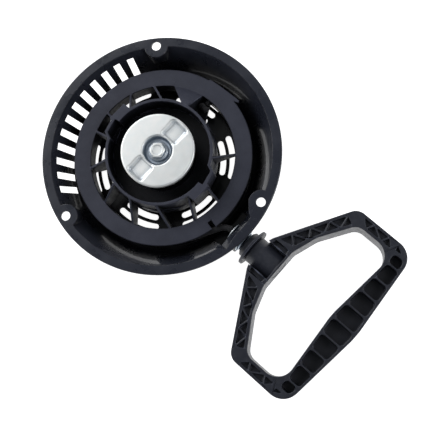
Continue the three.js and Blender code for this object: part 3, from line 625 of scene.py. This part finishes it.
# ---------------------------------------------------------------- pan
def bay(wall, top):
    """The outlet bay, or the space inside it: upright behind the eyelet, flared above it."""
    low, high, face = BAY_SIDES[0] - wall, BAY_SIDES[1] + wall, BAY_FACE + wall
    mouth = grown(BAY_MOUTH, wall)
    lower = block((BAY_BACK, face), (low, high), (BAY_FLOOR + SHEET - wall, BAY_FACE_TOP))
    flare = bmesh.new()
    base = [(BAY_BACK, low), (face, low), (face, high), (BAY_BACK, high)]
    for x, y, z in [(x, y, BAY_FACE_TOP) for x, y in base] + [(x, y, FLANGE_BOTTOM) for x, y in mouth]:
        flare.verts.new((x, y, z))
    hull = bmesh.ops.convex_hull(flare, input=flare.verts)
    bmesh.ops.delete(flare, geom=hull["geom_interior"] + hull["geom_unused"], context="VERTS")
    upper = bpy.data.meshes.new("flare")
    flare.to_mesh(upper)
    flare.free()
    parts = [lower, outward(upper)]
    if top > FLANGE_BOTTOM:
        parts.append(prism(mouth, FLANGE_BOTTOM - 0.01, top))
    return moved(union(parts), about_z(OUTLET_ANGLE) @ Matrix.Translation((0, OUTLET_OFFSET, 0)))


def shoulder(sheet, z0, z1):
    """The step that joins the lobe beside the outlet to the bay."""
    x, y = polar(HOLE_CIRCLE_R, HOLE_ANGLES[2])
    left = x - LOBE_R + sheet
    low = y - SHOULDER_REACH + sheet
    return prism([(left, y), (left + 0.4, low + 3.7), (left + 1.5, low), (x, low), (x, y)], z0, z1)


def arc_slot(r, span, middle, z0, z1):
    """A curved slot of the grille with round ends. Its span and middle are angles in degrees."""
    half, steps, cap_steps = GRILLE_HALF, 14, 7
    a0 = math.radians(middle - span / 2) + half / r
    a1 = math.radians(middle + span / 2) - half / r
    angles = [a0 + (a1 - a0) * k / steps for k in range(steps + 1)]
    outer = [((r + half) * math.cos(a), (r + half) * math.sin(a)) for a in angles]
    inner = [((r - half) * math.cos(a), (r - half) * math.sin(a)) for a in reversed(angles)]

    def cap(angle, start):
        turns = [start + math.pi * k / cap_steps for k in range(1, cap_steps)]
        x, y = r * math.cos(angle), r * math.sin(angle)
        return [(x + half * math.cos(t), y + half * math.sin(t)) for t in turns]
    return prism(outer + cap(a1, a1) + inner + cap(a0, a0 + math.pi), z0, z1)


def bead(z, wider):
    """Outline corners of the ring that is pressed into the pan's floor."""
    r0, r1, r2, r3 = BEAD_R
    return [(r0 - wider, z, 0.6), (r1 - wider, z + BEAD_HEIGHT, 0.6),
            (r2 + wider, z + BEAD_HEIGHT, 0.6), (r3 + wider, z, 0.6)]


def pan():
    outside = lathe([
        (0, 0, 0), *bead(0, 0), (FLOOR_R - 0.6, 0, 2.4), (MOUTH_R + 0.7, FLANGE_BOTTOM, 0.8),
        (FLANGE_R, FLANGE_BOTTOM, 0.5), (FLANGE_R, PAN_HEIGHT, 0.8), (0, PAN_HEIGHT, 0)], PAN_FACETS)
    inside = lathe([
        (0, SHEET, 0), *bead(SHEET, 0.4), (FLOOR_R - 0.5, SHEET, 2.6), (MOUTH_R, PAN_HEIGHT, 0.4),
        (MOUTH_R, PAN_HEIGHT + 1, 0), (0, PAN_HEIGHT + 1, 0)], PAN_FACETS)
    lobes = [polar(HOLE_CIRCLE_R, angle) for angle in HOLE_ANGLES]
    outside = cut(outside, shoulder(SHEET, -1, FLANGE_BOTTOM),
                  joined([disc(LOBE_R - SHEET, -1, FLANGE_BOTTOM, x, y) for x, y in lobes]))
    inside = cut(inside, shoulder(0, 0, PAN_HEIGHT + 2),
                 joined([disc(LOBE_R, -1, PAN_HEIGHT + 2, x, y) for x, y in lobes]))
    outside = union([outside, bay(SHEET, FLANGE_BOTTOM)])
    inside = union([inside, bay(0, PAN_HEIGHT + 1)])
    holes = [disc(HOLE_R, FLANGE_BOTTOM - 1, PAN_HEIGHT + 1, x, y, HOLE_FACETS) for x, y in lobes]
    slots = [arc_slot(r, span, GRILLE_FIRST + 360 / GRILLE_GROUPS * k, -1, SHEET + 1)
             for r, span in GRILLE_ROWS for k in range(GRILLE_GROUPS)]
    vent_y = (-VENT_WIDTH / 2, VENT_WIDTH / 2)
    vents = [turned(block(VENT_CUT_R, vent_y, VENT_Z), VENT_FIRST + k * VENT_PITCH)
             for k in range(VENT_COUNT)]
    rope_hole = moved(along_x(rod(GUIDE_BORE_R, 70, 82, HOLE_FACETS)), OUTLET)
    body = cut(outside, inside, joined(holes + slots), joined(vents), rope_hole)
    place("pan", body, "root", "gloss_black_paint", "housing", bevel=0.3)


# ---------------------------------------------------------------- reel
def hub_outline(inner):
    """The hub's wall seen along the axis, with a block and a drive pocket at each ratchet angle."""
    outer_r, outer_pocket_r = HUB_R + HUB_WALL, POCKET_R + HUB_WALL
    if inner:
        edge = [(-14, HUB_R), (0, HUB_R), (0.6, POCKET_R), (16, POCKET_R), (21, HUB_R)]
    else:
        edge = [(-18, outer_r), (-16, BLOCK_R), (2.6, BLOCK_R), (4, outer_pocket_r), (16.5, outer_pocket_r),
                (22, outer_r)]
    points, steps = [], 44
    for start in RATCHET_ANGLES:
        points += [polar(r, start + angle) for angle, r in edge]
        last, radius = edge[-1]
        plain = 180 + edge[0][0] - last
        points += [polar(radius, start + last + plain * k / steps) for k in range(1, steps)]
    return points


def rib(hub_angle, drum_angle, bottom=RIB_BOTTOM):
    """An upright rib from the hub to the drum, with a sloped top."""
    start = Vector(polar(HUB_R + HUB_WALL / 2, hub_angle))
    end = Vector(polar(DRUM_INNER_R + 1, drum_angle))
    run = (end - start).length
    side = [(0, bottom), (run, bottom), (run, REEL_TOP - 0.4), (0, RIB_TOP)]
    upright = moved(prism(side, -RIB_T / 2, RIB_T / 2), Matrix.Rotation(math.radians(90), 4, "X"))
    turn = Matrix.Rotation(math.atan2(end.y - start.y, end.x - start.x), 4, "Z")
    return moved(upright, Matrix.Translation((start.x, start.y, 0)) @ turn)


def sector(low, high):
    """Outline between hub and drum. Each side has its angle at the hub and at the drum."""
    near, far = HUB_R + 1, DRUM_INNER_R + 1
    return [polar(near, low[0]), polar(far, low[1]), polar(far, (low[1] + high[1]) / 2), polar(far, high[1]),
            polar(near, high[0])]


def hub():
    """The hub's outside, and the ratchet cup and the spring's room that are cut out of it."""
    outside = union([prism(hub_outline(False), BLOCK_BOTTOM, RIM_Z),
                     disc(HUB_R + HUB_WALL, HUB_BOTTOM, BLOCK_BOTTOM + 1, segments=HUB_FACETS)])
    cup = union([prism(hub_outline(True), BLOCK_BOTTOM + RIB_T, RIM_Z + 1),
                 disc(HUB_R, HUB_FLOOR[1], RIM_Z, segments=HUB_FACETS)])
    spring_room = disc(HUB_R, HUB_BOTTOM - 1, HUB_FLOOR[0], segments=HUB_FACETS)
    return outside, cup, spring_room


def spokes():
    """The ribs, the closed piece of web and the floor of the knot's pocket."""
    slope = lathe([
        (0, WEB_BOTTOM - 1, 0), (DRUM_INNER_R + 3, WEB_BOTTOM - 1, 0), (DRUM_INNER_R + 3, REEL_TOP, 0),
        (DRUM_INNER_R, REEL_TOP, 0), (HUB_R + HUB_WALL, RIB_TOP, 0), (0, RIB_TOP, 0)], HUB_FACETS)
    web = common(prism(sector(*WEB_SECTOR), WEB_BOTTOM, RIM_Z), slope)
    floor = prism(sector(*KNOT_SECTOR), REEL_BOTTOM, REEL_BOTTOM + RIB_T)
    ribs = [rib(*ends) for ends in RIBS]
    pieces = [*ribs, rib(*SHALLOW_RIB, WEB_BOTTOM), rib(*KNOT_RIB), web, floor]
    return cut(union(pieces), disc(HUB_R + 1, 0, RIM_Z + 1, segments=HUB_FACETS))


def drum():
    """The drum between its two flanges, with a notch in the upper flange's rim."""
    ring = lathe([
        (DRUM_INNER_R, REEL_BOTTOM, 0.5), (LOWER_FLANGE_R, REEL_BOTTOM, 0.7),
        (LOWER_FLANGE_R, REEL_BOTTOM + REEL_FLANGE_T, 0.7), (DRUM_R, REEL_BOTTOM + REEL_FLANGE_T, 0.6),
        (DRUM_R, REEL_TOP - REEL_FLANGE_T, 0.6), (REEL_R, REEL_TOP - REEL_FLANGE_T, 0.7),
        (REEL_R, REEL_TOP, 0.9), (DRUM_INNER_R, REEL_TOP, 0.6)], DRUM_FACETS)
    notch = block((REEL_R - NOTCH_DEPTH, 70), (-NOTCH_HALF, NOTCH_HALF), (REEL_TOP - 4, REEL_TOP + 1))
    return cut(ring, turned(notch, NOTCH_ANGLE))


def reel():
    outside, cup, spring_room = hub()
    web = spokes()
    boss = lathe([(BUSH_R, HUB_FLOOR[0], 0), (BOSS_R, HUB_FLOOR[0], 0), (BOSS_R, BOSS_TOP, 0.6),
                  (BUSH_R, BOSS_TOP, 0.4)], PART_FACETS)
    near, far = INNER_WALL_R
    inner_wall = lathe([(near, HUB_FLOOR[0], 0), (far, HUB_FLOOR[0], 0), (far, INNER_WALL_TOP, 0.5),
                        (near, INNER_WALL_TOP, 0.5)], HUB_FACETS)
    boss_rib = ((1 - far, far - 1), (-BOSS_RIB_HALF, BOSS_RIB_HALF), (HUB_FLOOR[0], BOSS_RIB_TOP))
    boss_ribs = [turned(block(*boss_rib), angle) for angle in BOSS_RIB_ANGLES]
    tongue = prism([polar(r, angle) for r, angle in TONGUE], REEL_TOP - REEL_FLANGE_T, REEL_TOP)
    shell = cut(union([outside, web]), cup, spring_room)
    whole = union([shell, boss, inner_wall, *boss_ribs, drum(), tongue])
    bore = disc(BUSH_R, 0, RIM_Z + 1, segments=PART_FACETS)
    half = ROPE_D / 2 + 0.45
    rope_hole = block((DRUM_R - 5, DRUM_R + 3), (-half, half), (ROPE_Z - half, ROPE_Z + half))
    body = cut(whole, bore, turned(rope_hole, KNOT_ANGLE))
    place("reel_moulding", body, "reel", "reel_plastic", "reel", bevel=0.35)


# ---------------------------------------------------------------- retainer plate and bolt
def smooth(value):
    """0 below 0, 1 above 1, and an S curve between them."""
    value = max(0.0, min(1.0, value))
    return value * value * (3 - 2 * value)


def dish(x, y):
    """How far the pressed bow-tie lies below the plate's face."""
    out_x, out_y = abs(abs(x) - ARM_X) - ARM_HALF[0], abs(y) - ARM_HALF[1]
    gap = math.hypot(max(out_x, 0.0), max(out_y, 0.0)) + min(max(out_x, out_y), 0.0)
    arm = ARM_DEPTH * smooth((ARM_EDGE - gap) / ARM_SLOPE)
    across, along_neck = (NECK_HALF - abs(y)) / NECK_SLOPE, (NECK_END - abs(x)) / NECK_SLOPE
    neck = NECK_DEPTH * smooth(across) * smooth(along_neck)
    well = WELL_DEPTH * smooth((WELL_R - math.hypot(x, y)) / WELL_SLOPE)
    return max(arm, neck, well)


def plate():
    """Rings of points over the top face, round the skirt and back under it."""
    sides, rings = PLATE_FACETS, 56
    flat_end = PLATE_R - 1.0
    top = [PLATE_HOLE_R + (flat_end - PLATE_HOLE_R) * (k / rings) for k in range(rings + 1)]
    cos, sin = math.cos(math.radians(BOW_TIE_ANGLE)), math.sin(math.radians(BOW_TIE_ANGLE))
    skirt = PLATE_R - PLATE_T
    edge = [(PLATE_R - 0.45, -0.12), (PLATE_R - 0.13, -0.45), (PLATE_R, -1.0), (PLATE_R, -3.2),
            (PLATE_R - 0.25, -3.4), (PLATE_R - 0.95, -3.4), (skirt, -3.2), (skirt, -PLATE_T - 0.6)]
    rows = ([(r, 0.0, True) for r in top] + [(r, z, False) for r, z in edge]
            + [(r, -PLATE_T, True) for r in reversed(top) if r < PLATE_R - 1.8])
    points, faces = [], []
    for r, z, pressed in rows:
        for k in range(sides):
            angle = 2 * math.pi * k / sides
            x, y = r * math.cos(angle), r * math.sin(angle)
            drop = dish(x, y) if pressed else 0.0
            points.append((x * cos - y * sin, x * sin + y * cos, PLATE_Z + z - drop))
    for i in range(len(rows)):
        j = (i + 1) % len(rows)
        for k in range(sides):
            m = (k + 1) % sides
            faces.append((i * sides + k, i * sides + m, j * sides + m, j * sides + k))
    place("pressed_plate", outward(mesh_of("plate", points, faces)), "root", "zinc_plate", "retainer_plate")


def bolt():
    """A hexagon flange bolt. The cone rounds the hexagon's corners and hollows its face."""
    seat = PLATE_Z - WELL_DEPTH + 0.3
    head_top = seat + BOLT_HEAD
    flange = lathe([(0, seat, 0), (BOLT_FLANGE_R, seat, 0.2), (BOLT_FLANGE_R, seat + 1.0, 0.4),
                    (5.5, seat + 1.7, 0.5), (0, seat + 1.7, 0)], PART_FACETS)
    hexagon = disc(BOLT_ACROSS_FLATS / math.sqrt(3), seat + 0.5, head_top, segments=6)
    cone = lathe([(0, seat, 0), (6.2, seat, 0), (6.2, seat + 3.7, 0), (4.6, head_top, 0.3),
                  (3.6, head_top, 0.3), (3.2, seat + 4.4, 0.3), (0, seat + 4.4, 0)], PART_FACETS)
    shank = lathe([(0, SHANK_END, 0), (SHANK_R - 0.8, SHANK_END, 0), (SHANK_R, SHANK_END + 1, 0),
                   (SHANK_R, seat + 1, 0), (0, seat + 1, 0)], SMALL_FACETS)
    head = common(hexagon, cone)
    place("bolt", union([flange, head, shank]), "root", "zinc_plate", "centre_bolt", bevel=0.18)


# ---------------------------------------------------------------- outlet
def outlet():
    """The guide block, the eyelet that lines its bore and the ring under the eyelet's outer flange."""
    corners = [(x, y, GUIDE_CORNER) for x, y in ((-GUIDE_TOP, -GUIDE_HALF), (GUIDE_HALF, -GUIDE_HALF),
                                                 (GUIDE_HALF, GUIDE_HALF), (-GUIDE_TOP, GUIDE_HALF))]
    guide = along_x(prism(rounded(corners, 8), *GUIDE_X))
    bore = along_x(rod(GUIDE_BORE_R, *GUIDE_BORE_X, SMALL_FACETS))
    place("outlet_guide", cut(guide, bore), "root", "handle_plastic", "rope_guide", OUTLET, bevel=0.8)
    eyelet = lathe([
        (3.9, 73.5, 0.3), (6.7, 73.8, 0.4), (6.7, 74.7, 0.2), (4.1, 74.7, 0.1), (4.1, 84, 0.1),
        (7.2, 84, 0.2), (7.2, 84.9, 0.4), (3.9, 85.5, 0.4), (3.1, 84.6, 0.4), (3.1, 74.4, 0.4)],
        PART_FACETS)
    place("eyelet", along_x(eyelet), "root", "zinc_plate", "guide_eyelet", OUTLET)
    ring = lathe([(GUIDE_BORE_R, 82.9, 0.1), (8.8, 82.9, 0.25), (8.8, 83.7, 0.25),
                  (GUIDE_BORE_R, 83.7, 0.1)], PART_FACETS)
    place("eyelet_ring", along_x(ring), "root", "zinc_plate", "eyelet_washer", OUTLET)


# ---------------------------------------------------------------- rope
def braid(around, twist):
    """Height of a 16-strand braid's surface: two families of strands that cross over and under."""
    strands = 8
    one = math.cos(strands * (around + twist))
    other = math.cos(strands * (around - twist))
    over = math.sin(strands * twist)
    return max(0.0, one) ** 0.6 * (0.6 + 0.4 * over) + max(0.0, other) ** 0.6 * (0.6 - 0.4 * over)


def rope_tube(name, path, radius, sides=32):
    """A braided rope along a list of close points."""
    depth = 0.09 * radius
    points, faces = [], []
    side_axis = None
    travel = 0.0
    count = len(path)
    for i, here in enumerate(path):
        ahead = (path[min(i + 1, count - 1)] - path[max(i - 1, 0)]).normalized()
        if side_axis is None:
            side_axis = ahead.orthogonal().normalized()
        side_axis = (side_axis - ahead * side_axis.dot(ahead)).normalized()
        other_axis = ahead.cross(side_axis)
        if i:
            travel += (here - path[i - 1]).length
        end = min(i, count - 1 - i)
        shrink = (0.55, 0.85, 1.0)[min(end, 2)]
        for k in range(sides):
            angle = 2 * math.pi * k / sides
            r = shrink * (radius - depth + depth * braid(angle, math.pi * travel / BRAID_PITCH))
            points.append(here + side_axis * (r * math.cos(angle)) + other_axis * (r * math.sin(angle)))
    for i in range(count - 1):
        for k in range(sides):
            m = (k + 1) % sides
            faces.append((i * sides + k, i * sides + m, (i + 1) * sides + m, (i + 1) * sides + k))
    faces.append(list(range(sides))[::-1])
    faces.append([(count - 1) * sides + k for k in range(sides)])
    return outward(mesh_of(name, points, faces))


def on_rope(x):
    """The point on the rope's straight stretch that is at X in the handle's frame."""
    return HANDLE @ Vector((x, 0, 0))


def stretch_of(start, end, step=0.3):
    """Points from start to just before end."""
    count = max(2, round((end - start).length / step))
    return [start.lerp(end, k / count) for k in range(count)]


def winding(exit_angle):
    """Two turns side by side on the drum, then one over them that ends where the rope leaves."""
    first, last = math.radians(KNOT_ANGLE), exit_angle + 6 * math.pi
    upper_z, lower_z = WOUND_Z
    steps = 1100
    points = []
    for k in range(steps + 1):
        angle = first + (last - first) * k / steps
        turn = (angle - first) / (2 * math.pi)
        r = WOUND_R + (LEAD_R - WOUND_R) * smooth((turn - 1.84) / 0.1)
        down = (upper_z - lower_z) * smooth((turn - 0.92) / 0.08)
        up = (ROPE_Z - lower_z) * smooth((turn - 1.94) / 0.6)
        points.append(Vector((r * math.cos(angle), r * math.sin(angle), upper_z - down + up)))
    return points


def lead_path(tangent):
    """From where the rope leaves the drum, round a bend, then straight to the knot in the handle."""
    bend, bend_end, end = on_rope(BEND_X), on_rope(BEND_X + BEND_REACH), on_rope(KNOT_SEAT_X + 1.4)
    start = Vector((LEAD_R * math.cos(tangent), LEAD_R * math.sin(tangent), ROPE_Z))
    bend_start = bend + (start - bend).normalized() * BEND_REACH
    curve, steps = [], 34
    for k in range(steps):
        t = k / steps
        curve.append(bend_start * (1 - t) ** 2 + bend * (2 * t * (1 - t)) + bend_end * t ** 2)
    return stretch_of(start, bend_start) + curve + stretch_of(bend_end, end) + [end]


def knot_path(x, reach):
    """A trefoil, which is an overhand knot with its ends joined."""
    points, steps = [], 160
    for k in range(steps):
        t = 2 * math.pi * k / steps
        shape = Vector((-math.sin(3 * t) * 0.8, math.sin(t) + 2 * math.sin(2 * t),
                        math.cos(t) - 2 * math.cos(2 * t)))
        points.append(Vector((x, 0, 0)) + shape * (reach / 3.0))
    return points


def ropes():
    bend = on_rope(BEND_X)
    tangent = math.atan2(bend.y, bend.x) - math.acos(LEAD_R / math.hypot(bend.x, bend.y))
    lead = rope_tube("lead", lead_path(tangent), ROPE_D / 2)
    lead.transform(Matrix.Scale(MM, 4))
    piece = shown("rope", lead, "rope_braid", "rope_lead")
    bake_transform(piece)

    wound = rope_tube("wound", winding(tangent), WOUND_ROPE_R, sides=20)
    place("wound_rope", wound, "reel", "rope_braid", "rope_coil")
    tail = stretch_of(*(Vector((x, 0, 0)) for x in REEL_TAIL_X), 0.4)
    knot = union([rope_tube("knot", knot_path(REEL_KNOT_X, 3.0), 1.5), rope_tube("tail", tail, 1.9)])
    seat = Matrix.Translation((0, 0, ROPE_Z)) @ about_z(KNOT_ANGLE)
    place("knot_in_reel", knot, "reel", "rope_braid", "reel_knot", seat)
    knot = rope_tube("knot", knot_path(KNOT_SEAT_X + 6.3, 3.6), 1.6)
    place("knot_in_handle", knot, "rope_end", "rope_braid", "handle_knot", HANDLE)


# ---------------------------------------------------------------- handle (its own frame)
def mirrored(half):
    """A closed outline from its half on one side of X."""
    return half + [(x, -y, r) for x, y, r in reversed(half)]


def mirror_cells(cells):
    return [[(x, -y) for x, y in cell] for cell in cells]


def grip_outer_x(y):
    return GRIP_OUTER_X - 0.088 * abs(y)


def grip_inner_x(y):
    return GRIP_INNER_X + 0.083 * abs(y)


def grip_cells():
    cells = []
    for k in range(-4, 4):
        y0, y1 = k * POCKET_PITCH, (k + 1) * POCKET_PITCH
        cells.append([(grip_inner_x(y0) + 1, y0), (grip_outer_x(y0) - 1, y0),
                      (grip_outer_x(y1) - 1, y1), (grip_inner_x(y1) + 1, y1)])
    return [*cells, END_CELL, *mirror_cells([END_CELL])]


def along(line, share):
    """A point part of the way along an open line of points."""
    runs = [math.dist(a, b) for a, b in zip(line, line[1:])]
    left = max(0.0, min(1.0, share)) * sum(runs)
    for (a, b), run in zip(zip(line, line[1:]), runs):
        if left <= run or b == line[-1]:
            return tuple(u + (v - u) * min(1.0, left / run) for u, v in zip(a, b))
        left -= run
    return line[-1]


def truss_cells(inner, outer, count):
    """Triangles that zigzag along a strip between two lines."""
    cells = []
    for k in range(count):
        near, far = (inner, outer) if k % 2 else (outer, inner)
        cells.append([along(near, (k - 0.5) / count), along(near, (k + 1.5) / count),
                      along(far, (k + 0.5) / count)])
    return cells


def pockets(cells, radius, floor):
    """Pockets sunk from both faces of the handle, down to floors that far from its middle."""
    half, tools = HANDLE_T / 2, []
    for cell in cells:
        shape = rounded([(x, y, radius) for x, y in grown(cell, -RIB_HALF)])
        tools += [prism(shape, floor, half + 1), prism(shape, -half - 1, -floor)]
    return tools


def loop():
    """The flat loop with its opening and pockets, before the barrel is added."""
    half = HANDLE_T / 2
    outline = rounded(mirrored([(97.5, 8, 0), (99.5, 13.6, 1.5), (130.4, HALF_WIDTH, 9),
                                (grip_outer_x(HALF_WIDTH), HALF_WIDTH, 13), (GRIP_OUTER_X, 4, 3)]), 12)
    opening = rounded(mirrored([(BARREL_END, 15, 12), (122, 33, 12), (137.6, OPENING_HALF, 9),
                                (grip_inner_x(OPENING_HALF), OPENING_HALF, 12), (GRIP_INNER_X, 3, 3)]), 12)
    body = cut(prism(outline, -half, half), prism(opening, -half - 1, half + 1))
    upper = [*truss_cells(ARM_INNER, ARM_OUTER, 8), *truss_cells(SIDE_INNER, SIDE_OUTER, 4), CORNER_CELL,
             BARREL_CELL]
    grip = pockets(grip_cells(), POCKET_CORNER, HANDLE_WEB / 2)
    arms = pockets(upper + mirror_cells(upper), CELL_CORNER, half - TRUSS_DEPTH)
    throat = [block((90, BARREL_END - 1.6), (-BARREL_R - 0.6, BARREL_R + 0.6), z)
              for z in ((HANDLE_WEB / 2, half + 1), (-half - 1, -HANDLE_WEB / 2))]
    return cut(body, joined(grip + arms), *throat)


def handle():
    barrel = along_x(lathe([(0, BARREL_START, 0), (BARREL_R, BARREL_START, 0.8), (BARREL_R, BARREL_END, 0.6),
                            (0, BARREL_END, 0)], PART_FACETS))
    hollow = along_x(lathe([
        (0, 80, 0), (7.5, 80, 0), (7.5, 95.7, 0.3), (ROPE_BORE_R, 95.7, 0), (ROPE_BORE_R, KNOT_SEAT_X, 0),
        (7, KNOT_SEAT_X, 0.3), (7, 130, 0), (0, 130, 0)], BORE_FACETS))
    place("loop", cut(union([loop(), barrel]), hollow), "handle", "handle_plastic", "handle_frame", HANDLE,
          bevel=0.5)
    nose, brim = COLLAR_X - 4.4, COLLAR_X + 2.0
    collar = lathe([
        (ROPE_BORE_R, nose, 0.4), (7.6, nose, 0.8), (9.6, nose + 1.4, 0.6), (9.6, COLLAR_X, 0.4),
        (COLLAR_R, COLLAR_X + 0.2, 0.2), (COLLAR_R, brim, 0.2), (SPIGOT_R, brim, 0.2),
        (SPIGOT_R, COLLAR_X + 5, 0.4), (ROPE_BORE_R, COLLAR_X + 5, 0.2)], HUB_FACETS)
    place("collar", along_x(collar), "handle", "handle_plastic", "handle_collar", HANDLE)
    plug = lathe([(0, BARREL_END - 1.8, 0), (PLUG_R, BARREL_END - 1.8, 0.2), (PLUG_R, BARREL_END - 0.4, 0.5),
                  (3.0, BARREL_END + 0.1, 1.0), (0, BARREL_END + 0.1, 0)], PART_FACETS)
    place("end_plug", along_x(plug), "handle", "handle_plastic", "handle_plug", HANDLE)


make_camera()
make_stage()
dress_cad_nodes()
pan()
reel()
plate()
bolt()
outlet()
ropes()
handle()
